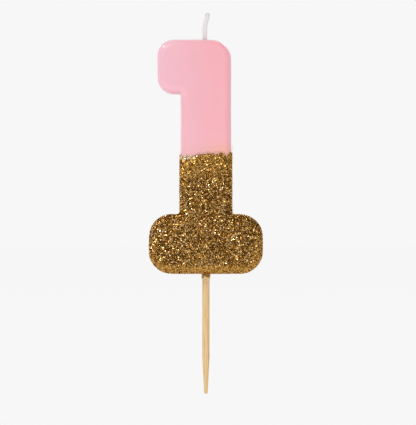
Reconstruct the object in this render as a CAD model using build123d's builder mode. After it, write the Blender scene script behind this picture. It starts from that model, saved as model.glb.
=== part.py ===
from build123d import *
import os

# A number candle: a moulded wax "1", dipped in a glossy skin, with glitter glued over its
# lower half, a wick in its crown and a wooden pick under its base. Sizes are in millimetres.
# The origin is on the pick's axis, level with the base's underside. +Z is up towards the
# wick, the numeral's flag points along -X and its front faces -Y.

# Numeral, measured over its dipped skin
numeral_height = 73.35
numeral_thickness = 11.0
stem_width = 15.9
flag_reach = 7.3  # how far the flag stands out from the stem
flag_height = 17.15
base_reach = 9.6  # how far the base stands out from the stem on each side
base_height = 18.0
crown_round = 6.3
flag_round = 5.2
base_round = 6.75
flag_nook = 0.7  # inner corner under the flag
base_nook = 1.35  # inner corners between the stem and the base
edge_round = 2.2  # edge of the front and back faces

# Layers on the moulded wax
skin_thickness = 0.5
glue_thickness = 0.1
glitter_thickness = 0.25
glitter_height = 36.65  # from the numeral's foot to the glitter's top edge

# Wick, cast into the crown
wick_radius = 0.68
wick_shown = 8.4
wick_aside = -0.4  # along X from the pick's axis
wick_gap = 7.0  # wax between the wick's lower end and the pick's socket
wick_upright = 3.1  # height above the crown where the wick starts to lean
wick_lean = 0.87  # along X at its tip
wick_bend = 8.0
skin_climb = 0.6  # how far the skin climbs the wick
skin_collar = 0.5  # how far that collar spreads from the wick

# Pick, glued into the base and pointed at both ends
pick_radius = 1.15
pick_shown = 37.9
pick_point = 11.5
pick_tip_radius = 0.57
pick_sunk = 22.0
pick_sunk_radius = 0.6
pick_end_round = 0.45
socket_gap = 0.25  # glue between the pick and its socket
socket_end_gap = 0.5
cuff_length = 2.2  # collar of glue and glitter on the pick under the base
cuff_lip = 0.1
cuff_spread = 0.2

# Levels worked out from the sizes
foot = glue_thickness + glitter_thickness
crown = foot + numeral_height
glitter_line = foot + glitter_height
pick_top = foot + pick_sunk
pick_shoulder = pick_point - pick_shown
socket_top = pick_top + socket_end_gap
wick_foot = socket_top + wick_gap
wick_tip = crown + wick_shown


# A corner's rounding, held to the straight wall beside it
def rounding(wanted, wall):
    return min(wanted, 0.95 * wall)


# The numeral as a solid, every wall moved in by the inset, or out where it is negative
def numeral(inset):
    half_stem = stem_width / 2 - inset
    half_base = stem_width / 2 + base_reach - inset
    flag_tip = inset - stem_width / 2 - flag_reach
    flag_foot = crown - flag_height + inset
    sole = foot + inset
    ledge = foot + base_height - inset
    top = crown - inset
    base_corner = rounding(base_round, min(base_height / 2, base_reach - base_nook)) - inset
    flag_corner = rounding(flag_round, min(flag_height / 2, flag_reach - flag_nook)) - inset
    crown_corner = rounding(crown_round, stem_width / 2) - inset
    face_edge = rounding(edge_round, numeral_thickness / 2) - inset
    corners = [
        ((-half_base, sole), base_corner),
        ((half_base, sole), base_corner),
        ((half_base, ledge), base_corner),
        ((half_stem, ledge), base_nook + inset),
        ((half_stem, top), crown_corner),
        ((flag_tip, top), flag_corner),
        ((flag_tip, flag_foot), flag_corner),
        ((-half_stem, flag_foot), flag_nook + inset),
        ((-half_stem, ledge), base_nook + inset),
        ((-half_base, ledge), base_corner),
    ]
    points = [point for point, radius in corners]
    radii = [radius for point, radius in corners]
    with BuildPart() as solid:
        with BuildSketch(Plane.XZ):
            with BuildLine():
                FilletPolyline(*points, radius=radii, close=True)
            make_face()
        extrude(amount=numeral_thickness / 2 - inset, both=True)
        fillet(solid.faces().filter_by(Axis.Y).edges(), radius=face_edge)
    return solid.part


moulded_numeral = numeral(skin_thickness)
dipped_numeral = numeral(0)
glued_numeral = numeral(-glue_thickness)
glittered_numeral = numeral(-glue_thickness - glitter_thickness)

# Wick: upright in the wax, then leaning a little to one side above the crown
with BuildPart() as wick:
    with BuildLine() as wick_route:
        FilletPolyline(
            (wick_aside, 0, wick_foot),
            (wick_aside, 0, crown + wick_upright),
            (wick_aside + wick_lean, 0, wick_tip),
            radius=wick_bend,
        )
    with BuildSketch(Plane.XY.offset(wick_foot)):
        with Locations((wick_aside, 0)):
            Circle(wick_radius)
    sweep(path=wick_route.line)

# Pick: a straight round shank, a point below it and a long taper inside the wax
with BuildPart() as pick:
    with BuildSketch(Plane.XZ) as pick_profile:
        with BuildLine():
            Polyline(
                (0, -pick_shown),
                (pick_tip_radius, -pick_shown),
                (pick_radius, pick_shoulder),
                (pick_radius, -cuff_length),
                (pick_sunk_radius, pick_top),
                (0, pick_top),
                close=True,
            )
        make_face()
        ends = pick_profile.vertices().filter_by_position(Axis.X, 0.01, pick_radius - 0.01)
        fillet(ends, radius=pick_end_round)
    revolve(axis=Axis.Z)

# Socket in the base, which the pick and its glue fill
with BuildPart() as socket:
    with BuildSketch(Plane.XY.offset(foot)):
        Circle(pick_radius + socket_gap)
    extrude(amount=socket_top - foot)

with BuildPart() as pick_glue:
    add(socket.part)
    add(pick.part, mode=Mode.SUBTRACT)

with BuildPart() as wax_core:
    add(moulded_numeral)
    add(socket.part, mode=Mode.SUBTRACT)
    add(wick.part, mode=Mode.SUBTRACT)

# Skin: glossy wax all over the moulded numeral, climbing the wick a little
with BuildPart() as dip_skin:
    add(dipped_numeral)
    with BuildSketch(Plane.XY.offset(crown)):
        with Locations((wick_aside, 0)):
            Circle(wick_radius + skin_collar)
    with BuildSketch(Plane.XY.offset(crown + skin_climb)):
        with Locations((wick_aside, 0)):
            Circle(wick_radius + skin_collar / 5)
    loft()
    add(moulded_numeral, mode=Mode.SUBTRACT)
    add(socket.part, mode=Mode.SUBTRACT)
    add(wick.part, mode=Mode.SUBTRACT)

with BuildPart() as glue_film:
    add(glued_numeral)
    split(bisect_by=Plane.XY.offset(glitter_line), keep=Keep.BOTTOM)
    add(dipped_numeral, mode=Mode.SUBTRACT)
    add(pick.part, mode=Mode.SUBTRACT)

# Cuff: the glue and glitter that ran on to the pick, thickest where it leaves the base
with BuildPart() as pick_cuff:
    with BuildSketch(Plane.XZ):
        with BuildLine():
            cuff_root = pick_radius + cuff_spread
            cuff_side = Polyline((0, glitter_thickness), (cuff_root, glitter_thickness), (cuff_root, 0))
            cuff_curve = TangentArc(
                cuff_side @ 1, (pick_radius + cuff_lip, -cuff_length), tangent=(0, -1)
            )
            Polyline(cuff_curve @ 1, (0, -cuff_length), (0, glitter_thickness))
        make_face()
    revolve(axis=Axis.Z)
    add(pick.part, mode=Mode.SUBTRACT)

with BuildPart() as glitter_coat:
    add(glittered_numeral)
    split(bisect_by=Plane.XY.offset(glitter_line), keep=Keep.BOTTOM)
    add(glued_numeral, mode=Mode.SUBTRACT)
    add(pick_cuff.part, mode=Mode.SUBTRACT)
    add(pick.part, mode=Mode.SUBTRACT)

wax_core.part.label = "wax_core"
dip_skin.part.label = "dip_skin"
glue_film.part.label = "glue_film"
glitter_coat.part.label = "glitter_coat"
wick.part.label = "wick"
pick.part.label = "pick"
pick_glue.part.label = "pick_glue"
pick_cuff.part.label = "pick_cuff"

os.makedirs("parts", exist_ok=True)
export_step(wax_core.part, "parts/wax_core.step")
export_step(dip_skin.part, "parts/dip_skin.step")
export_step(glue_film.part, "parts/glue_film.step")
export_step(glitter_coat.part, "parts/glitter_coat.step")
export_step(wick.part, "parts/wick.step")
export_step(pick.part, "parts/pick.step")
export_step(pick_glue.part, "parts/pick_glue.step")
export_step(pick_cuff.part, "parts/pick_cuff.step")
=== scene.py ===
import math
import bmesh
import bpy
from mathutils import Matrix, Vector, noise


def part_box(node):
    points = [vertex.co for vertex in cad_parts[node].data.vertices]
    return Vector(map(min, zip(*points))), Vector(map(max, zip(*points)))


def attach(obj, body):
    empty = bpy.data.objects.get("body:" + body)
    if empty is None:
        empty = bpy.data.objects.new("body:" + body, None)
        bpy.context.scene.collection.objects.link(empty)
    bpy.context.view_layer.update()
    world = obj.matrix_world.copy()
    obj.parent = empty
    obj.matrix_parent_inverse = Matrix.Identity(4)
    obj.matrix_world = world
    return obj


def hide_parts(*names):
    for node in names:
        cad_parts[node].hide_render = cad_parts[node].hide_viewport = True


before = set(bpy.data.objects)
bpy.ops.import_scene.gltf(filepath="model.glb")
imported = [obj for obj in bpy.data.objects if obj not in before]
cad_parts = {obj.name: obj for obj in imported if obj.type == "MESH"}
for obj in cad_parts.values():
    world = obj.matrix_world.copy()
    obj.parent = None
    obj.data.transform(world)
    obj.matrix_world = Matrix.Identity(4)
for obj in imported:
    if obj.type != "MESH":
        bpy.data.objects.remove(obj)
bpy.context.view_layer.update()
scene = bpy.context.scene
mm = 0.001
body = "root"

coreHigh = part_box("wax_core")[1]
skinLow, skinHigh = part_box("dip_skin")
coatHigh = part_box("glitter_coat")[1]
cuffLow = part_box("pick_cuff")[0]
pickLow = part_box("pick")[0]
wickLow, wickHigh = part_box("wick")
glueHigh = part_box("pick_glue")[1]
crown = coreHigh.z + skinHigh.y - coreHigh.y  # the box of dip_skin ends higher, on the wick
print("frame loaded")


# An sRGB hex colour as linear red, green, blue and alpha
def linear(hexColour):
    values = []
    for start in (1, 3, 5):
        part = int(hexColour[start:start + 2], 16) / 255
        values.append(part / 12.92 if part <= 0.04045 else ((part + 0.055) / 1.055) ** 2.4)
    return (*values, 1)


# Adds a node with its settings and links. "stops" are the places and hex colours of a ramp
def addNode(tree, kind, settings=None, links=None):
    node = tree.nodes.new(kind)
    for name, value in (settings or {}).items():
        if name == "stops":
            elements = node.color_ramp.elements
            while len(elements) < len(value):
                elements.new(0.5)
            for element, (place, hexColour) in zip(elements, value):
                element.position = place
                element.color = linear(hexColour)
        elif isinstance(name, str) and hasattr(node, name):
            setattr(node, name, value)
        else:
            node.inputs[name].default_value = value
    for name, socket in (links or {}).items():
        tree.links.new(socket, node.inputs[name])
    return node


def newMaterial(name):
    material = bpy.data.materials.new(name)
    material.use_nodes = True
    tree = material.node_tree
    return material, tree, tree.nodes["Principled BSDF"]


def makeActive(piece):
    bpy.ops.object.select_all(action="DESELECT")
    piece.select_set(True)
    bpy.context.view_layer.objects.active = piece


def named(name):
    piece = bpy.context.active_object
    piece.name = name
    piece.data.name = name
    return piece


def copyOf(source, name):
    piece = source.copy()
    piece.data = source.data.copy()
    piece.name = name
    piece.data.name = name
    scene.collection.objects.link(piece)
    makeActive(piece)
    return piece


# In edit mode, selects just the vertices, edges or faces that pass the test
def choose(piece, kind, test):
    bpy.ops.mesh.select_mode(type=kind)
    bpy.ops.mesh.select_all(action="DESELECT")
    mesh = bmesh.from_edit_mesh(piece.data)
    parts = {"VERT": mesh.verts, "EDGE": mesh.edges, "FACE": mesh.faces}[kind]
    for part in parts:
        if test(part):
            part.select_set(True)
    bmesh.update_edit_mesh(piece.data)


def applyModifier(piece, kind, **settings):
    makeActive(piece)
    modifier = piece.modifiers.new(kind.title(), kind)
    for name, value in settings.items():
        setattr(modifier, name, value)
    bpy.ops.object.modifier_apply(modifier=modifier.name)


def dress(piece, material):
    piece.data.materials.clear()
    piece.data.materials.append(material)
    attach(piece, body)


# Camera: far back with a long lens, level with the middle of the candle
view = {
    "distance": 0.9,
    "frameHeight": 134.2 * mm,  # seen at the candle
    "aside": 0.66 * mm,
    "height": 19.3 * mm,
}
sensor = 36.0
cameraData = bpy.data.cameras.new("camera")
cameraData.sensor_width = sensor
cameraData.lens = sensor * view["distance"] / view["frameHeight"]
camera = bpy.data.objects.new("camera", cameraData)
camera.location = (view["aside"], -view["distance"], view["height"])
camera.rotation_euler = (math.radians(90), 0, 0)
scene.collection.objects.link(camera)
scene.camera = camera
print("camera placed")


# Numeral: a block cut, drawn out, rounded and dipped
numeral = {
    "stemWidth": 15.9 * mm,
    "flagReach": 7.3 * mm,
    "flagHeight": 17.15 * mm,
    "baseHeight": 18.0 * mm,
    "crownRound": 6.3 * mm,
    "flagRound": 5.2 * mm,
    "baseRound": 6.75 * mm,
    "flagNook": 0.7 * mm,
    "baseNook": 1.35 * mm,
    "edgeRound": 2.2 * mm,  # of the front's and the back's edges
    "cornerSteps": 12,
    "edgeSteps": 8,
    "grid": 1.0 * mm,  # face size that the waves need
    "waveHeight": 0.16 * mm,
    "waveLength": 9 * mm,
}


def makeNumeral():
    halfStem = numeral["stemWidth"] / 2
    foot = skinLow.z
    ledge = foot + numeral["baseHeight"]
    flagFoot = crown - numeral["flagHeight"]
    flagTip = -halfStem - numeral["flagReach"]
    baseReach = skinHigh.x - halfStem
    depth = skinHigh.y - skinLow.y
    tall = crown - foot
    bpy.ops.object.select_all(action="DESELECT")
    bpy.ops.mesh.primitive_cube_add(size=1, location=(0, 0, foot + tall / 2))
    piece = named("numeral")
    piece.scale = (2 * halfStem, depth, tall)
    bpy.ops.object.transform_apply(location=True, rotation=True, scale=True)
    bpy.ops.object.mode_set(mode="EDIT")
    for level in (ledge, flagFoot):
        bpy.ops.mesh.select_all(action="SELECT")
        bpy.ops.mesh.bisect(plane_co=(0, 0, level), plane_no=(0, 0, 1))
    # draw the base out to both sides and the flag to the left
    for side, low, high, reach in (
        (1, foot, ledge, baseReach),
        (-1, foot, ledge, baseReach),
        (-1, flagFoot, crown, numeral["flagReach"]),
    ):
        choose(piece, "FACE", lambda face: face.normal.x * side > 0.9
               and low < face.calc_center_median().z < high)
        bpy.ops.mesh.extrude_region_move(TRANSFORM_OT_translate={"value": (side * reach, 0, 0)})
    bpy.ops.mesh.select_all(action="SELECT")
    bpy.ops.mesh.dissolve_limited(angle_limit=math.radians(1))
    # round each corner of the outline
    halfBase = halfStem + baseReach
    for x, z, radius in (
        (-halfBase, foot, numeral["baseRound"]),
        (halfBase, foot, numeral["baseRound"]),
        (halfBase, ledge, numeral["baseRound"]),
        (-halfBase, ledge, numeral["baseRound"]),
        (halfStem, ledge, numeral["baseNook"]),
        (-halfStem, ledge, numeral["baseNook"]),
        (halfStem, crown, numeral["crownRound"]),
        (flagTip, crown, numeral["flagRound"]),
        (flagTip, flagFoot, numeral["flagRound"]),
        (-halfStem, flagFoot, numeral["flagNook"]),
    ):
        corner = Vector((x, z))
        choose(piece, "EDGE", lambda edge: all(
            (Vector((vert.co.x, vert.co.z)) - corner).length < 0.05 * mm for vert in edge.verts))
        bpy.ops.mesh.bevel(offset=radius, segments=numeral["cornerSteps"], affect="EDGES",
                           clamp_overlap=False)
    # then the edges of the front and the back
    choose(piece, "EDGE", lambda edge: abs(sum(vert.co.y for vert in edge.verts)) > depth - 0.01 * mm)
    bpy.ops.mesh.bevel(offset=numeral["edgeRound"], segments=numeral["edgeSteps"], affect="EDGES",
                       clamp_overlap=False)
    # cut a grid into the flat walls, fine enough to carry the waves
    for axis, low, high in ((2, foot, crown), (0, -halfBase, halfBase), (1, -depth / 2, depth / 2)):
        count = round((high - low) / numeral["grid"])
        normal = Vector((axis == 0, axis == 1, axis == 2))
        for step in range(1, count):
            place = normal * (low + (high - low) * step / count)
            if axis == 2:
                bpy.ops.mesh.select_all(action="SELECT")
            elif axis == 0:
                choose(piece, "FACE", lambda face: max(abs(face.normal.y), abs(face.normal.z)) > 0.999)
            else:
                choose(piece, "FACE", lambda face: abs(face.normal.y) < 0.001)
            bpy.ops.mesh.bisect(plane_co=place, plane_no=normal)
    bpy.ops.mesh.select_all(action="SELECT")
    bpy.ops.mesh.remove_doubles(threshold=0.005 * mm)
    bpy.ops.mesh.normals_make_consistent(inside=False)
    bpy.ops.object.mode_set(mode="OBJECT")
    bpy.ops.object.shade_smooth()
    return piece


# Lets the dipped wax lie a little uneven, as it does when it has run and set
def makeWavy(piece):
    waves = bpy.data.textures.new("setWax", "CLOUDS")
    waves.noise_scale = numeral["waveLength"]
    waves.noise_depth = 1
    applyModifier(piece, "DISPLACE", texture=waves, texture_coords="LOCAL",
                  strength=numeral["waveHeight"], mid_level=0.5)


# Bores a round hole up or down the Z axis
def bore(piece, aside, radius, low, high):
    bpy.ops.object.select_all(action="DESELECT")
    bpy.ops.mesh.primitive_cylinder_add(
        vertices=32, radius=radius, depth=high - low, location=(aside, 0, (low + high) / 2))
    drill = named("drill")
    bpy.ops.object.transform_apply(location=True, rotation=True, scale=True)
    applyModifier(piece, "BOOLEAN", operation="DIFFERENCE", solver="EXACT", object=drill)
    bpy.data.objects.remove(drill)


numeralPiece = makeNumeral()
makeWavy(numeralPiece)
print("numeral made, faces:", len(numeralPiece.data.polygons))


# Wick: three strands plaited flat, flaring where they were cut
wick = {
    "radius": 0.68 * mm,
    "lean": 0.87 * mm,  # of the tip along X
    "upright": 2.6 * mm,  # above the crown before it leans
    "plaitLength": 2.3 * mm,
    "strands": 3,
    "strandRadius": 0.36 * mm,
    "sway": 0.42 * mm,
    "cross": 0.17 * mm,
    "flare": 1.0 * mm,  # the length that has come loose at the tip
    "frayed": 0.45 * mm,  # how far below the tip the plait ends and only fibres go on
    "fibres": 80,
    "fibreRoot": 1.1 * mm,  # how far below the tip the fibres start
    "fibreLength": 1.05 * mm,
    "fibreRadius": 0.05 * mm,
    "strays": 16,
    "strayLength": 0.8 * mm,
    "strayRadius": 0.022 * mm,
}
wickAside = wickLow.x + wick["radius"]


def smooth(value, low, high):
    share = min(max((value - low) / (high - low), 0), 1)
    return share * share * (3 - 2 * share)


# The wick's middle at a height
def wickMiddle(z):
    above = z - crown
    lean = wick["lean"] * smooth(above, wick["upright"], wickHigh.z - crown + 0.2 * mm)
    kink = 0.06 * mm * math.sin(above / (1.05 * mm)) * smooth(above, 0, 1 * mm)
    return Vector((wickAside + lean + kink, 0.4 * kink, z))


# A round strand through points worked out in order, as a mesh
def makeStrand(name, points, radius, sides=2):
    curve = bpy.data.curves.new(name, "CURVE")
    curve.dimensions = "3D"
    curve.bevel_depth = radius
    curve.bevel_resolution = sides
    curve.use_fill_caps = True
    spline = curve.splines.new("POLY")
    spline.points.add(len(points) - 1)
    for point, (place, width) in zip(spline.points, points):
        point.co = (*place, 1)
        point.radius = width
    strand = bpy.data.objects.new(name, curve)
    scene.collection.objects.link(strand)
    makeActive(strand)
    bpy.ops.object.convert(target="MESH")
    return bpy.context.active_object


def joinPieces(pieces, name):
    bpy.ops.object.select_all(action="DESELECT")
    for piece in pieces:
        piece.select_set(True)
    bpy.context.view_layer.objects.active = pieces[0]
    bpy.ops.object.join()
    return named(name)


def makeWick():
    strands = []
    steps = round((wickHigh.z - wickLow.z) / (0.14 * mm))
    for number in range(wick["strands"]):
        points = []
        for step in range(steps + 1):
            z = wickLow.z + (wickHigh.z - wick["frayed"] - wickLow.z) * step / steps
            turn = 2 * math.pi * (z / wick["plaitLength"] + number / wick["strands"])
            loose = smooth(z, wickHigh.z - wick["flare"], wickHigh.z)
            tight = 0.84 + 0.16 * smooth(z, crown - 0.8 * mm, crown + 0.2 * mm)
            spread = wick["sway"] * tight * (1 + 0.5 * loose)
            offset = Vector((spread * math.sin(turn), wick["cross"] * math.sin(2 * turn), 0))
            points.append((wickMiddle(z) + offset, tight + 0.15 * loose))
        strands.append(makeStrand(f"strand{number}", points, wick["strandRadius"]))
    # fibres that fan out of the cut end
    for number in range(wick["fibres"]):
        angle = number * 2.4
        reach = math.sqrt((number + 0.5) / wick["fibres"])
        start = wickHigh.z - wick["fibreRoot"]
        fan = Vector((math.cos(angle) * 0.72, math.sin(angle) * 0.5, 0)) * reach * mm
        wander = noise.noise_vector(Vector((number * 0.71, 3.1, 0))) * 0.12 * mm
        points = []
        for step in range(6):
            share = step / 5
            z = start + share * (wick["fibreLength"] + 0.3 * wander.z)
            place = wickMiddle(z) + fan * (0.8 + 0.36 * share * share) + wander * share
            points.append((place, 1 - 0.3 * share))
        strands.append(makeStrand(f"fibre{number}", points, wick["fibreRadius"], sides=0))
    # a few that stand off along the plait
    for number in range(wick["strays"]):
        z = crown + (0.6 + 0.43 * number) * mm
        angle = number * 2.1
        side = Vector((math.cos(angle), math.sin(angle) * 0.6, 0))
        points = []
        for step in range(9):
            share = step / 8
            place = wickMiddle(z) + side * (0.5 + 0.28 * math.sin(share * 2.4)) * mm
            place.z += share * wick["strayLength"]
            points.append((place, 1 - 0.4 * share))
        strands.append(makeStrand(f"stray{number}", points, wick["strayRadius"], sides=0))
    piece = joinPieces(strands, "plaitedWick")
    bpy.ops.object.shade_smooth_by_angle(angle=math.radians(50))
    return piece


wickPiece = makeWick()
print("wick made")


# Collar: wax that crept up the wick and set
collar = {
    "spread": 0.5 * mm,
    "climb": 0.4 * mm,
    "rings": 7,
    "hollow": 1.8,  # how steeply it curves up to the wick
}


def makeCollar():
    bpy.ops.object.select_all(action="DESELECT")
    bpy.ops.mesh.primitive_circle_add(
        vertices=40, radius=wick["radius"] + collar["spread"],
        location=(wickAside, 0, crown - 0.12 * mm))
    piece = named("wickCollar")
    bpy.ops.object.transform_apply(location=True, rotation=True, scale=True)
    bpy.ops.object.mode_set(mode="EDIT")
    bpy.ops.mesh.select_all(action="SELECT")
    rings = collar["rings"]
    middle = Vector((wickAside, 0, 0))
    for ring in range(rings):
        before = wick["radius"] + collar["spread"] * (1 - ring / rings) ** collar["hollow"]
        after = wick["radius"] + collar["spread"] * (1 - (ring + 1) / rings) ** collar["hollow"]
        after -= 0.01 * mm  # the rim ends just inside the wick
        bpy.ops.mesh.extrude_edges_move(
            TRANSFORM_OT_translate={"value": (0, 0, collar["climb"] / rings)})
        mesh = bmesh.from_edit_mesh(piece.data)
        for vert in mesh.verts:
            if vert.select:
                away = Vector((vert.co.x, vert.co.y, 0)) - middle
                vert.co.x = middle.x + away.x * after / before
                vert.co.y = away.y * after / before
        bmesh.update_edit_mesh(piece.data)
    # closed at the top by a point inside the wick, and flat below
    bpy.ops.mesh.extrude_edges_move(TRANSFORM_OT_translate={"value": (0, 0, 0)})
    bpy.ops.mesh.edge_collapse()
    choose(piece, "EDGE", lambda edge: edge.is_boundary)
    bpy.ops.mesh.fill()
    bpy.ops.mesh.select_all(action="SELECT")
    bpy.ops.mesh.normals_make_consistent(inside=False)
    bpy.ops.object.mode_set(mode="OBJECT")
    bpy.ops.object.shade_smooth_by_angle(angle=math.radians(60))
    return piece


collarPiece = makeCollar()
print("collar made")


# Glitter: a bed of dark gold grit, then thousands of foil flakes laid on it
glitter = {
    "bedLift": 0.27 * mm,  # of the flakes over the wax
    "bedDrop": 0.1 * mm,  # of the grit below the flakes
    "bedThickness": 0.2 * mm,
    "bedHole": 1.3 * mm,  # radius left open round the pick
    "cuffHole": 1.2 * mm,  # the same for the flakes on the cuff
    "lumps": ((3.2 * mm, 0.16 * mm), (0.9 * mm, 0.14 * mm)),  # size and height of its unevenness
    "gap": 0.21 * mm,  # least distance between two flakes' middles
    "density": 22e6,  # most flakes to a square metre before the gap thins them
    "flakeRadius": 0.22 * mm,  # twice as wide as fine glitter, so that single flakes show
    "flakeDepth": 0.08 * mm,
    "flakeSizes": (0.6, 1.15),
    "flakeLifts": (-0.04 * mm, 0.07 * mm),  # how deep or proud a flake lies
    "tilt": 0.68,  # most lean of a flake, in radians
    "evenTone": 0.55,  # what the flakes' tones draw towards where they were pressed
    "pressing": 0.7,  # the share of lean and tone that pressing takes away
    "strays": 1.6 * mm,  # how far loose flakes lie above the edge
    "tongue": 4.2 * mm,  # where glue ran up one side
    "glueMargin": 0.45 * mm,
    "filmLift": 0.1 * mm,
    "filmBelow": 1.5 * mm,  # how far the glue film runs down under the flakes
}


# The height of the glitter's ragged edge at a place on the stem: dips and peaks along the front,
# a slow wave round the back, and small teeth all round. The bare numbers are millimetres
def dipLine(place):
    x, y = place.x / mm, place.y / mm
    half = numeral["stemWidth"] / 2 / mm
    front = 0.65 - 0.9 * math.exp(-((x + 7) / 2.2) ** 2) - 0.35 * math.exp(-((x + 3.8) / 1.2) ** 2)
    front += 0.4 * math.exp(-((x - 4.8) / 0.8) ** 2) - 0.75 * math.exp(-((x - 6.7) / 0.7) ** 2)
    front += 0.6 * math.exp(-((abs(x) - half) / 0.4) ** 2)
    back = 0.1 + 0.9 * math.sin(0.52 * x + 0.8)
    turned = smooth(y, -4, 4)
    line = front * (1 - turned) + back * turned
    grain = 0.3 * noise.noise(place / (1.4 * mm)) + 0.2 * noise.noise(place / (0.55 * mm))
    return coatHigh.z + (line + grain) * mm


# How thick the flakes lie at a place, from 0 to 1
def coverAt(place):
    above = place.z - dipLine(place)
    half = numeral["stemWidth"] / 2
    run = math.exp(-((place.y + 1.2 * mm) / (0.9 * mm)) ** 2) * smooth(place.x, half - 0.1 * mm, half)
    strays = 0.05 * (1 - smooth(above, 0, glitter["strays"]))
    tongue = 0.5 * run * (1 - smooth(above, 0, glitter["tongue"]))
    return max(1 - smooth(above, -0.35 * mm, 0.2 * mm), strays, tongue)


# The numeral's lower half as a finely divided open surface, lifted off the wax
def makeGround(name, lift):
    ground = copyOf(numeralPiece, name)
    bpy.ops.object.mode_set(mode="EDIT")
    bpy.ops.mesh.select_all(action="SELECT")
    bpy.ops.mesh.bisect(plane_co=(0, 0, coatHigh.z + 6 * mm), plane_no=(0, 0, 1), clear_outer=True)
    bpy.ops.mesh.select_all(action="SELECT")
    bpy.ops.transform.shrink_fatten(value=lift, use_even_offset=True)
    bpy.ops.mesh.subdivide(number_cuts=2)
    bpy.ops.object.mode_set(mode="OBJECT")
    return ground


# Makes the ground uneven, in large soft lumps and in small ones
def makeLumpy(ground):
    for size, height in glitter["lumps"]:
        lumps = bpy.data.textures.new("lumps", "CLOUDS")
        lumps.noise_scale = size
        applyModifier(ground, "DISPLACE", texture=lumps, texture_coords="LOCAL",
                      strength=height, mid_level=0.5)


# Deletes the faces whose middles pass the test
def trim(piece, test):
    bpy.ops.object.mode_set(mode="EDIT")
    choose(piece, "FACE", lambda face: test(face.calc_center_median()))
    bpy.ops.mesh.delete(type="FACE")
    bpy.ops.object.mode_set(mode="OBJECT")


# The grit under the flakes, which ends below the ragged edge and round the pick
def makeBed(ground):
    bed = copyOf(ground, "glitterBed")
    trim(bed, lambda place: place.z > dipLine(place) - 0.1 * mm or place.xy.length < glitter["bedHole"])
    bpy.ops.object.mode_set(mode="EDIT")
    bpy.ops.mesh.select_all(action="SELECT")
    bpy.ops.transform.shrink_fatten(value=-glitter["bedDrop"])
    bpy.ops.object.mode_set(mode="OBJECT")
    applyModifier(bed, "SOLIDIFY", thickness=glitter["bedThickness"], offset=-1)
    return bed


# How far the clear glue reaches past the glitter: least at the left, most at the front right
def glueEdge(place):
    front = 1 - smooth(place.y, -5 * mm, -3 * mm)
    margin = glitter["glueMargin"] + 0.5 * mm * front * smooth(place.x, -5 * mm, 5 * mm)
    return dipLine(place) + margin * (1 + 0.5 * noise.noise(place / (2.2 * mm)))


# The clear glue, which shows as a rim past the ragged edge
def makeFilm():
    film = makeGround("glueFilm", glitter["filmLift"])
    trim(film, lambda place: place.z - dipLine(place) <= -glitter["filmBelow"] or place.z > glueEdge(place))
    makeActive(film)
    bpy.ops.object.shade_smooth()
    applyModifier(film, "SOLIDIFY", thickness=0.8 * glitter["filmLift"], offset=-1)
    return film


# A six-sided foil flake with a shallow point beneath, which sinks in the glue
def makeFlake():
    bpy.ops.object.select_all(action="DESELECT")
    bpy.ops.mesh.primitive_cone_add(
        vertices=6, radius1=0, radius2=glitter["flakeRadius"], depth=glitter["flakeDepth"],
        location=(0, 0, -glitter["flakeDepth"] / 2))
    piece = named("flake")
    bpy.ops.object.transform_apply(location=True, rotation=True, scale=True)
    return piece


# How much milky glue has been dragged over the flakes at a place
def milkAt(place):
    below = dipLine(place) - place.z
    left = 1 - smooth(place.x, -4.5 * mm, -1 * mm)
    return 0.75 * left * (1 - smooth(below, 0.3 * mm, 1.9 * mm))


# How much painted gold reflection, standing in for light thrown back by the glitter, tints the wax above
# it: most at the front right
def paintedGoldBounceAt(place):
    front = 1 - smooth(place.y, -2 * mm, 4 * mm)
    above = place.z - coatHigh.z
    return (0.25 + 0.75 * front * smooth(place.x, -5 * mm, 4 * mm)) * (1 - smooth(above, 0, 6 * mm))


# How flat the flakes were pressed: along the base's lower edge, up its right side, and
# a little at the top of the stem
def pressedAt(place):
    rounding = numeral["baseRound"]
    across = max(abs(place.x) - (coatHigh.x - rounding), 0)
    along = max(abs(place.z - numeral["baseHeight"] / 2) - (numeral["baseHeight"] / 2 - rounding), 0)
    inset = rounding - math.hypot(across, along)
    low = place.z - 0.4 * max(place.x, 0)
    below = dipLine(place) - place.z
    top = 0.45 * (1 - smooth(below, 2.5 * mm, 10 * mm))
    return max(0.65 * (1 - smooth(inset, 2.2 * mm, 2.9 * mm)) * (1 - smooth(low, 3 * mm, 8 * mm)), top)


# Stores an amount at every vertex, for the scatter and the materials to read
def paint(piece, name, amount):
    values = piece.data.attributes.new(name, "FLOAT", "POINT")
    values.data.foreach_set("value", [amount(vert.co) for vert in piece.data.vertices])


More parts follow.
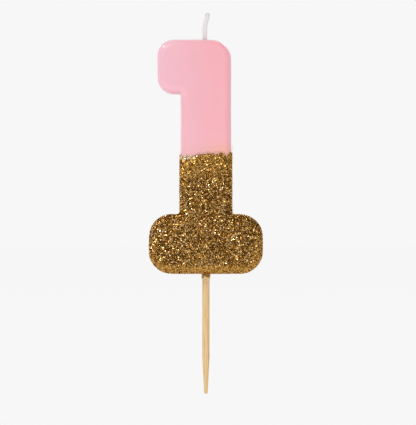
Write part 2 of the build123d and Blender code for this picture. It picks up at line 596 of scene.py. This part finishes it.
# Node tree that lays flakes on a surface, each turned, tilted, sized and toned at random
def scatterTree(flakePiece, seed):
    tree = bpy.data.node_groups.new(f"layFlakes{seed}", "GeometryNodeTree")
    tree.interface.new_socket("Geometry", in_out="INPUT", socket_type="NodeSocketGeometry")
    tree.interface.new_socket("Geometry", in_out="OUTPUT", socket_type="NodeSocketGeometry")
    surface = addNode(tree, "NodeGroupInput")
    cover = addNode(tree, "GeometryNodeInputNamedAttribute", {"data_type": "FLOAT", "Name": "cover"})
    points = addNode(tree, "GeometryNodeDistributePointsOnFaces",
                     {"distribute_method": "POISSON", "Distance Min": glitter["gap"],
                      "Density Max": glitter["density"], "Seed": seed},
                     {"Mesh": surface.outputs[0], "Density Factor": cover.outputs[0]})
    lift = addNode(tree, "FunctionNodeRandomValue",
                   {"data_type": "FLOAT", 2: glitter["flakeLifts"][0], 3: glitter["flakeLifts"][1],
                    "Seed": seed + 1})
    along = addNode(tree, "ShaderNodeVectorMath", {"operation": "SCALE"},
                    {0: points.outputs["Normal"], "Scale": lift.outputs[1]})
    lifted = addNode(tree, "GeometryNodeSetPosition", {},
                     {"Geometry": points.outputs["Points"], "Offset": along.outputs[0]})
    tilt = glitter["tilt"]
    turn = addNode(tree, "FunctionNodeRandomValue",
                   {"data_type": "FLOAT_VECTOR", 0: (-tilt, -tilt, -math.pi), 1: (tilt, tilt, math.pi),
                    "Seed": seed + 2})
    pressed = addNode(tree, "GeometryNodeInputNamedAttribute", {"data_type": "FLOAT", "Name": "pressed"})
    loose = addNode(tree, "ShaderNodeMath", {"operation": "MULTIPLY_ADD", 1: -glitter["pressing"], 2: 1.0},
                    {0: pressed.outputs[0]})
    lean = addNode(tree, "ShaderNodeVectorMath", {"operation": "SCALE"},
                   {0: turn.outputs[0], "Scale": loose.outputs[0]})
    euler = addNode(tree, "FunctionNodeEulerToRotation", {}, {0: lean.outputs[0]})
    facing = addNode(tree, "FunctionNodeRotateRotation", {"rotation_space": "LOCAL"},
                     {0: points.outputs["Rotation"], 1: euler.outputs[0]})
    size = addNode(tree, "FunctionNodeRandomValue",
                   {"data_type": "FLOAT", 2: glitter["flakeSizes"][0], 3: glitter["flakeSizes"][1],
                    "Seed": seed + 3})
    shape = addNode(tree, "GeometryNodeObjectInfo", {"As Instance": True})
    shape.inputs["Object"].default_value = flakePiece
    laid = addNode(tree, "GeometryNodeInstanceOnPoints", {},
                   {"Points": lifted.outputs[0], "Instance": shape.outputs["Geometry"],
                    "Rotation": facing.outputs[0], "Scale": size.outputs[1]})
    tone = addNode(tree, "FunctionNodeRandomValue", {"data_type": "FLOAT", "Seed": seed + 4})
    apart = addNode(tree, "ShaderNodeMath", {"operation": "SUBTRACT", 1: glitter["evenTone"]},
                    {0: tone.outputs[1]})
    evened = addNode(tree, "ShaderNodeMath", {"operation": "MULTIPLY_ADD", 2: glitter["evenTone"]},
                     {0: apart.outputs[0], 1: loose.outputs[0]})
    milk = addNode(tree, "GeometryNodeInputNamedAttribute", {"data_type": "FLOAT", "Name": "milk"})
    paler = addNode(tree, "ShaderNodeMath", {"operation": "ADD"},
                    {0: evened.outputs[0], 1: milk.outputs[0]})
    toned = addNode(tree, "GeometryNodeStoreNamedAttribute",
                    {"data_type": "FLOAT", "domain": "INSTANCE", "Name": "flakeTone"},
                    {"Geometry": laid.outputs[0], "Value": paler.outputs[0]})
    real = addNode(tree, "GeometryNodeRealizeInstances", {}, {"Geometry": toned.outputs[0]})
    addNode(tree, "NodeGroupOutput", {}, {0: real.outputs[0]})
    return tree


# Lays flakes on the part of a surface that passes the test
def layFlakes(surface, flakePiece, name, seed, keep):
    piece = copyOf(surface, name)
    trim(piece, lambda place: not keep(place))
    applyModifier(piece, "NODES", node_group=scatterTree(flakePiece, seed))
    return piece


groundPiece = makeGround("ground", glitter["bedLift"])
makeLumpy(groundPiece)
bedPiece = makeBed(groundPiece)
filmPiece = makeFilm()
print("glitter bed made, faces:", len(bedPiece.data.polygons))
# painted reflection: gold light from the glitter, stored on the wax as "haze"
paint(numeralPiece, "haze", paintedGoldBounceAt)
paint(groundPiece, "cover", coverAt)
paint(groundPiece, "milk", milkAt)
paint(groundPiece, "pressed", pressedAt)
flakePiece = makeFlake()
ledge = skinLow.z + numeral["baseHeight"]
stemFlakes = layFlakes(groundPiece, flakePiece, "glitterStem", 11, lambda place: place.z > ledge)
leftFlakes = layFlakes(groundPiece, flakePiece, "glitterBaseLeft", 23,
                       lambda place: place.z <= ledge and place.x < 0)
rightFlakes = layFlakes(groundPiece, flakePiece, "glitterBaseRight", 37,
                        lambda place: place.z <= ledge and place.x >= 0)
cuffSkin = copyOf(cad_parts["pick_cuff"], "cuffSkin")
cuffSkin.parent = None
paint(cuffSkin, "cover", lambda place: 0.5 - 0.46 * smooth(-place.z, 0.2 * mm, -0.95 * cuffLow.z))
cuffFlakes = layFlakes(cuffSkin, flakePiece, "glitterCuff", 51,
                       lambda place: place.z < 0 and place.xy.length > glitter["cuffHole"])
bpy.data.objects.remove(cuffSkin)
bpy.data.objects.remove(groundPiece)
bpy.data.objects.remove(flakePiece)
for piece in (stemFlakes, leftFlakes, rightFlakes, cuffFlakes):
    print(piece.name, "triangles:", sum(len(face.vertices) - 2 for face in piece.data.polygons))

bore(numeralPiece, wickAside, wick["radius"], wickLow.z, crown + 1 * mm)
bore(numeralPiece, 0, glueHigh.x, skinLow.z - 1 * mm, glueHigh.z)


# Paraffin wax with pink dye, over-dipped: softly see-through, wet-looking, faintly rippled
def dippedWax():
    material, tree, shader = newMaterial("dippedParaffinWax")
    place = addNode(tree, "ShaderNodeTexCoord").outputs["Object"]
    # the dye clouds over 14 mm, smears are 3 mm long and the ripples of the dip 4.5 mm
    cloud = addNode(tree, "ShaderNodeTexNoise", {"Scale": 1 / (14 * mm), "Detail": 2.0},
                    {"Vector": place})
    # painted light: the dye is made paler and cooler toward the flag at the left and warmer to the right,
    # standing in for light falling from the left
    parts = addNode(tree, "ShaderNodeSeparateXYZ", {}, {0: place})
    paintedSideLight = addNode(tree, "ShaderNodeMapRange", {"From Min": -18 * mm, "From Max": 9 * mm},
                      {"Value": parts.outputs["X"]})
    # the dye's clouds plus the painted side light
    depth = addNode(tree, "ShaderNodeMath", {"operation": "MULTIPLY_ADD", 1: 0.45},
                    {0: cloud.outputs["Fac"], 2: paintedSideLight.outputs[0]})
    # the ramp gives the dye's colour together with the painted side light
    dyeAndSideLight = addNode(tree, "ShaderNodeValToRGB",
                  {"stops": ((0.15, "#f1c1ce"), (0.5, "#f3bfca"), (0.8, "#f4bac4"), (1.0, "#f7b6bf"))},
                  {0: depth.outputs[0]})
    # painted reflection: gold light thrown back from the glitter onto the wax, mixed into its colour
    goldBounce = addNode(tree, "ShaderNodeAttribute", {"attribute_name": "haze"})
    thin = addNode(tree, "ShaderNodeMath", {"operation": "MULTIPLY", 1: 0.3}, {0: goldBounce.outputs["Fac"]})
    dyeWithPaintedLight = addNode(tree, "ShaderNodeMix", {"data_type": "RGBA", 7: linear("#dfb43c")},
                    {0: thin.outputs[0], 6: dyeAndSideLight.outputs[0]})
    smear = addNode(tree, "ShaderNodeTexNoise", {"Scale": 1 / (3 * mm), "Detail": 3.0},
                    {"Vector": place})
    gloss = addNode(tree, "ShaderNodeMapRange", {"To Min": 0.08, "To Max": 0.18},
                    {"Value": smear.outputs["Fac"]})
    ripple = addNode(tree, "ShaderNodeTexNoise", {"Scale": 1 / (4.5 * mm), "Detail": 1.0},
                     {"Vector": place})
    bump = addNode(tree, "ShaderNodeBump", {"Strength": 0.35, "Distance": 0.06 * mm},
                   {"Height": ripple.outputs["Fac"]})
    shader.inputs["Subsurface Weight"].default_value = 0.45
    shader.inputs["Subsurface Radius"].default_value = (1.0, 0.5, 0.45)
    shader.inputs["Subsurface Scale"].default_value = 1.8 * mm
    shader.inputs["IOR"].default_value = 1.44
    tree.links.new(dyeWithPaintedLight.outputs[2], shader.inputs["Base Color"])
    tree.links.new(gloss.outputs[0], shader.inputs["Roughness"])
    tree.links.new(bump.outputs[0], shader.inputs["Normal"])
    return material


# Polyester film with a gold-lacquered aluminium face, cut to flakes: small mirrors of mixed tone
# under a clear coat that gives the palest glints
def goldFoil():
    material, tree, shader = newMaterial("goldLacqueredFoil")
    tone = addNode(tree, "ShaderNodeAttribute", {"attribute_name": "flakeTone"}).outputs["Fac"]
    colour = addNode(tree, "ShaderNodeValToRGB",
                     {"stops": ((0.0, "#5e3808"), (0.3, "#ae782a"), (0.65, "#d9a44c"),
                                (0.88, "#efc27c"), (1.0, "#ffe6be"))},
                     {0: tone})
    haze = addNode(tree, "ShaderNodeMapRange", {"To Min": 0.4, "To Max": 0.18}, {"Value": tone})
    milky = addNode(tree, "ShaderNodeAttribute", {"attribute_name": "milk"}).outputs["Fac"]
    shine = addNode(tree, "ShaderNodeMapRange", {"From Min": 0.35, "From Max": 0.8, "To Min": 1.0,
                                                 "To Max": 0.35}, {"Value": milky})
    tree.links.new(shine.outputs[0], shader.inputs["Metallic"])
    shader.inputs["Specular Tint"].default_value = linear("#f7ca7c")
    shader.inputs["Coat Weight"].default_value = 0.4
    shader.inputs["Coat Roughness"].default_value = 0.12
    tree.links.new(colour.outputs[0], shader.inputs["Base Color"])
    tree.links.new(haze.outputs[0], shader.inputs["Roughness"])
    return material


# Flakes that sank in the glue, seen as dark gold grit in the gaps
def sunkGlitter():
    material, tree, shader = newMaterial("glitterSunkInGlue")
    place = addNode(tree, "ShaderNodeTexCoord").outputs["Object"]
    # cells as wide as a flake
    cells = addNode(tree, "ShaderNodeTexVoronoi", {"Scale": 1 / (0.4 * mm)}, {"Vector": place})
    colour = addNode(tree, "ShaderNodeValToRGB",
                     {"stops": ((0.1, "#2a1601"), (0.55, "#603d0e"), (0.9, "#9c6e26"))},
                     {0: cells.outputs["Color"]})
    bump = addNode(tree, "ShaderNodeBump", {"Strength": 0.8, "Distance": 0.08 * mm},
                   {"Height": cells.outputs["Color"]})
    shader.inputs["Metallic"].default_value = 1.0
    shader.inputs["Specular Tint"].default_value = linear("#d9a550")
    shader.inputs["Roughness"].default_value = 0.5
    tree.links.new(colour.outputs[0], shader.inputs["Base Color"])
    tree.links.new(bump.outputs[0], shader.inputs["Normal"])
    return material


# Bleached cotton primed with wax: off-white, soft, with fine lengthwise threads
def primedCotton():
    material, tree, shader = newMaterial("waxPrimedCotton")
    place = addNode(tree, "ShaderNodeTexCoord").outputs["Object"]
    # yarns 0.16 mm apart
    threads = addNode(tree, "ShaderNodeTexNoise", {"Scale": 1 / (0.16 * mm), "Detail": 2.0},
                      {"Vector": place})
    colour = addNode(tree, "ShaderNodeValToRGB",
                     {"stops": ((0.3, "#dcd9da"), (0.6, "#efecec"), (0.8, "#f9f5f0"))},
                     {0: threads.outputs["Fac"]})
    bump = addNode(tree, "ShaderNodeBump", {"Strength": 0.6, "Distance": 0.04 * mm},
                   {"Height": threads.outputs["Fac"]})
    shader.inputs["Roughness"].default_value = 0.75
    shader.inputs["Sheen Weight"].default_value = 0.2
    tree.links.new(colour.outputs[0], shader.inputs["Base Color"])
    tree.links.new(bump.outputs[0], shader.inputs["Normal"])
    return material


# Birch turned to a dowel: pale tan with fine straight grain along its length
def turnedBirch():
    material, tree, shader = newMaterial("turnedBirch")
    place = addNode(tree, "ShaderNodeTexCoord").outputs["Object"]
    # real grain lines are about 0.1 mm wide, and these are 0.35 mm, so that they show
    along = addNode(tree, "ShaderNodeMapping", {"Scale": (1, 1, 0.035)}, {"Vector": place})
    grain = addNode(tree, "ShaderNodeTexNoise", {"Scale": 1 / (0.35 * mm), "Detail": 4.0,
                                                 "Roughness": 0.6}, {"Vector": along.outputs[0]})
    colour = addNode(tree, "ShaderNodeValToRGB",
                     {"stops": ((0.25, "#c4965c"), (0.5, "#e6c189"), (0.75, "#f3d5a3"))},
                     {0: grain.outputs["Fac"]})
    bump = addNode(tree, "ShaderNodeBump", {"Strength": 0.5, "Distance": 0.05 * mm},
                   {"Height": grain.outputs["Fac"]})
    shader.inputs["Roughness"].default_value = 0.55
    tree.links.new(colour.outputs[0], shader.inputs["Base Color"])
    tree.links.new(bump.outputs[0], shader.inputs["Normal"])
    return material


# Dried craft glue: clear, glossy and faintly milky
def driedGlue():
    material, tree, shader = newMaterial("driedClearGlue")
    place = addNode(tree, "ShaderNodeTexCoord").outputs["Object"]
    cloud = addNode(tree, "ShaderNodeTexNoise", {"Scale": 1 / (0.8 * mm), "Detail": 2.0},
                    {"Vector": place})
    colour = addNode(tree, "ShaderNodeValToRGB", {"stops": ((0.3, "#e6bb7c"), (0.7, "#f0d2a0"))},
                     {0: cloud.outputs["Fac"]})
    bump = addNode(tree, "ShaderNodeBump", {"Strength": 0.5, "Distance": 0.05 * mm},
                   {"Height": cloud.outputs["Fac"]})
    shader.inputs["Roughness"].default_value = 0.15
    shader.inputs["Alpha"].default_value = 0.07
    tree.links.new(colour.outputs[0], shader.inputs["Base Color"])
    tree.links.new(bump.outputs[0], shader.inputs["Normal"])
    return material


# Glue and fine glitter dust run down the wood: brown-gold at the top, thinning to bare birch
def stainedGlue():
    material, tree, shader = newMaterial("glueStainedBirch")
    place = addNode(tree, "ShaderNodeTexCoord").outputs["Object"]
    height = addNode(tree, "ShaderNodeSeparateXYZ", {}, {0: place})
    fade = addNode(tree, "ShaderNodeMapRange", {"From Min": cuffLow.z, "From Max": 0.0},
                   {"Value": height.outputs["Z"]})
    speck = addNode(tree, "ShaderNodeTexNoise", {"Scale": 1 / (0.5 * mm), "Detail": 3.0},
                    {"Vector": place})
    ragged = addNode(tree, "ShaderNodeMath", {"operation": "MULTIPLY_ADD", 1: 3.0, 2: -1.5},
                     {0: speck.outputs["Fac"]})
    stain = addNode(tree, "ShaderNodeMath", {"operation": "ADD"},
                    {0: fade.outputs[0], 1: ragged.outputs[0]})
    colour = addNode(tree, "ShaderNodeValToRGB",
                     {"stops": ((0.35, "#f4d29c"), (0.55, "#e4b86c"),
                                (0.7, "#b98632"), (1.0, "#8a5a1a"))},
                     {0: stain.outputs[0]})
    bump = addNode(tree, "ShaderNodeBump", {"Strength": 0.6, "Distance": 0.06 * mm},
                   {"Height": speck.outputs["Fac"]})
    shader.inputs["Roughness"].default_value = 0.3
    tree.links.new(colour.outputs[0], shader.inputs["Base Color"])
    tree.links.new(bump.outputs[0], shader.inputs["Normal"])
    return material


waxMaterial = dippedWax()
foilMaterial = goldFoil()
sunkMaterial = sunkGlitter()
cottonMaterial = primedCotton()
birchMaterial = turnedBirch()
glueMaterial = driedGlue()
stainMaterial = stainedGlue()

dress(numeralPiece, waxMaterial)
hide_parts("dip_skin", "wax_core")
dress(collarPiece, waxMaterial)
dress(wickPiece, cottonMaterial)
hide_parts("wick")
dress(bedPiece, sunkMaterial)
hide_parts("glitter_coat")
dress(filmPiece, glueMaterial)
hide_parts("glue_film")
for piece in (stemFlakes, leftFlakes, rightFlakes, cuffFlakes):
    dress(piece, foilMaterial)
for node, material in (
    ("pick", birchMaterial),
    ("pick_glue", glueMaterial),
    ("pick_cuff", stainMaterial),
):
    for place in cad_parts[node].material_slots:
        place.material = material
print("materials on")


# Studio: pale floor, soft light from the upper left, a bright strip at the left
studio = {
    "pale": "#f7f7f7",
    "floorReach": 4.0,
    "floorShade": 0.03,  # how much of the floor's tone comes from the lamps
    "floorGlow": 0.975,  # the rest of it, so that it meets the backdrop
    "fromLeft": 0.5,  # soft light all round, on matt surfaces
    "fromRight": 0.64,
    "roomFront": 0.1,  # how bright the room before the candle looks in shiny ones
    "roomBack": 1.0,
}


# A pale floor that glows as bright as the backdrop, so that no horizon shows
def makeFloor():
    bpy.ops.object.select_all(action="DESELECT")
    bpy.ops.mesh.primitive_circle_add(
        vertices=96, radius=studio["floorReach"], fill_type="NGON", location=(0, 0, pickLow.z))
    floor = named("floor")
    bpy.ops.object.transform_apply(location=True, rotation=True, scale=True)
    material, tree, shader = newMaterial("palePaper")
    pale = linear(studio["pale"])
    shade = [part * studio["floorShade"] for part in pale[:3]]
    shader.inputs["Base Color"].default_value = (*shade, 1)
    shader.inputs["Roughness"].default_value = 1.0
    shader.inputs["Specular IOR Level"].default_value = 0.0
    shader.inputs["Emission Color"].default_value = pale
    shader.inputs["Emission Strength"].default_value = studio["floorGlow"]
    # seen from below the paper is clear, so that the underside can be looked at
    side = addNode(tree, "ShaderNodeNewGeometry")
    clear = addNode(tree, "ShaderNodeBsdfTransparent")
    either = addNode(tree, "ShaderNodeMixShader", {},
                     {0: side.outputs["Backfacing"], 1: shader.outputs[0], 2: clear.outputs[0]})
    tree.links.new(either.outputs[0], tree.nodes["Material Output"].inputs[0])
    floor.data.materials.append(material)


# The studio round the candle: the camera sees an even backdrop, matt surfaces get soft light, and
# shiny ones mirror a room that is dark in front and bright behind
def makeWorld():
    world = bpy.data.worlds.new("studio")
    world.use_nodes = True
    scene.world = world
    tree = world.node_tree
    seen = tree.nodes["Background"]
    seen.inputs["Color"].default_value = linear(studio["pale"])
    white = (1, 1, 1, 1)
    way = addNode(tree, "ShaderNodeTexCoord").outputs["Generated"]
    parts = addNode(tree, "ShaderNodeSeparateXYZ", {}, {0: way})
    backdrop = addNode(tree, "ShaderNodeMapRange",
                       {"From Min": -0.15, "From Max": 0.35, "To Min": studio["roomFront"],
                        "To Max": studio["roomBack"]}, {"Value": parts.outputs["Y"]})
    softness = addNode(tree, "ShaderNodeMapRange",
                       {"From Min": -0.7, "From Max": 0.7, "To Min": studio["fromLeft"],
                        "To Max": studio["fromRight"]}, {"Value": parts.outputs["X"]})
    fill = addNode(tree, "ShaderNodeBackground", {"Color": white}, {"Strength": softness.outputs[0]})
    room = addNode(tree, "ShaderNodeBackground", {"Color": white}, {"Strength": backdrop.outputs[0]})
    rays = addNode(tree, "ShaderNodeLightPath")
    lit = addNode(tree, "ShaderNodeMixShader", {},
                  {0: rays.outputs["Is Diffuse Ray"], 1: room.outputs[0], 2: fill.outputs[0]})
    whole = addNode(tree, "ShaderNodeMixShader", {},
                    {0: rays.outputs["Is Camera Ray"], 1: lit.outputs[0], 2: seen.outputs[0]})
    tree.links.new(whole.outputs[0], tree.nodes["World Output"].inputs[0])


# A rectangular softbox aimed at the candle, given by how bright its face is. A small one may
# show only as a glint
def addSoftbox(name, place, wide, tall, brightness, shineOnly=False):
    data = bpy.data.lights.new(name, "AREA")
    data.shape = "RECTANGLE"
    data.size = wide
    data.size_y = tall
    data.energy = brightness * math.pi * wide * tall
    lamp = bpy.data.objects.new(name, data)
    lamp.location = place
    aim = Vector((0, 0, view["height"])) - Vector(place)
    lamp.rotation_euler = aim.to_track_quat("-Z", "Y").to_euler()
    lamp.visible_camera = False
    lamp.visible_diffuse = not shineOnly
    scene.collection.objects.link(lamp)


makeFloor()
makeWorld()
addSoftbox("key", (-0.4, -0.81, 0.64), 0.6, 0.6, 3.6)
addSoftbox("corner", (-0.57, -0.08, 0.56), 0.24, 0.14, 20, shineOnly=True)
addSoftbox("spark", (-0.25, -0.85, 0.85), 0.06, 0.06, 50)
addSoftbox("bounce", (0.1, -0.9, 0.02), 0.8, 0.1, 0.9)
addSoftbox("strip", (-0.8, 0.38, 0.1), 0.15, 0.5, 0.9, shineOnly=True)
addSoftbox("rear", (0.4, 0.85, 0.6), 0.4, 0.4, 3)
scene.view_settings.view_transform = "Standard"
print("studio lit")
